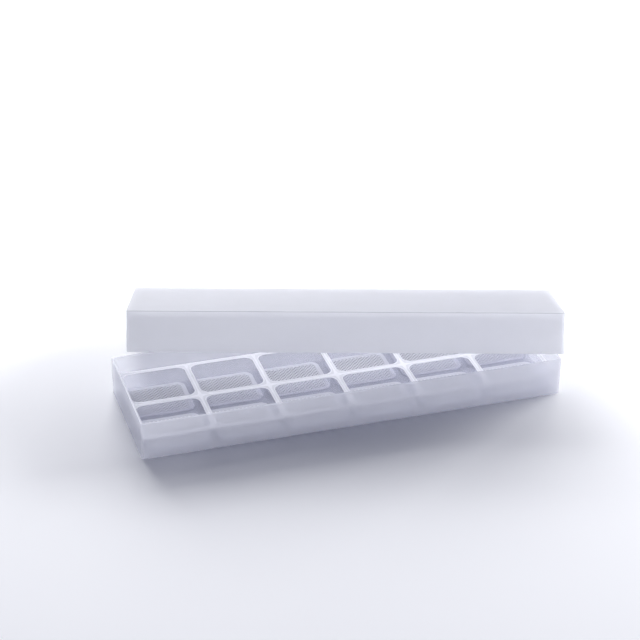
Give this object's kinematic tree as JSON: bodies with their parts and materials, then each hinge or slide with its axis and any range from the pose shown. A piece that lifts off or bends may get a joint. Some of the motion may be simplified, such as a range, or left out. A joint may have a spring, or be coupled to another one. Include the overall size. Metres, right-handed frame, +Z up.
{
  "type": "humidity dome tray",
  "caption": "Long frosted plastic propagation tray with a lift-out insert of mesh-bottomed cells and a deep box cover leaning on it.",
  "frame": {"origin": "centre of the base tray's underside", "axes": "+X along the tray, +Y across it towards the side where the cover leans, +Z up"},
  "size_m": [0.3902, 0.2157, 0.069],
  "materials": {
    "tray_frosted": "frosted translucent polypropylene",
    "insert_clear": "thin clear-ish polypropylene with milky lands",
    "cover_frosted": "frosted translucent polypropylene",
    "screen_mesh": "fine natural plastic mesh"
  },
  "bodies": {
    "tray": {"base_tray": "tray_frosted"},
    "insert": {"cell_insert": "insert_clear", "screen_front_1": "screen_mesh", "screen_front_2": "screen_mesh", "screen_front_3": "screen_mesh", "screen_front_4": "screen_mesh", "screen_front_5": "screen_mesh", "screen_front_6": "screen_mesh", "screen_back_1": "screen_mesh", "screen_back_2": "screen_mesh", "screen_back_3": "screen_mesh", "screen_back_4": "screen_mesh", "screen_back_5": "screen_mesh", "screen_back_6": "screen_mesh"},
    "cover": {"cover": "cover_frosted"}
  },
  "joints": [
    {"name": "insert_lift", "type": "slide", "parent": "tray", "child": "insert", "axis": [0, 0, 1], "range_m": [0, 0.08]},
    {"name": "cover_lift", "type": "slide", "parent": "insert", "child": "cover", "axis": [0, 0, 1], "range_m": [0, 0.15]}
  ]
}
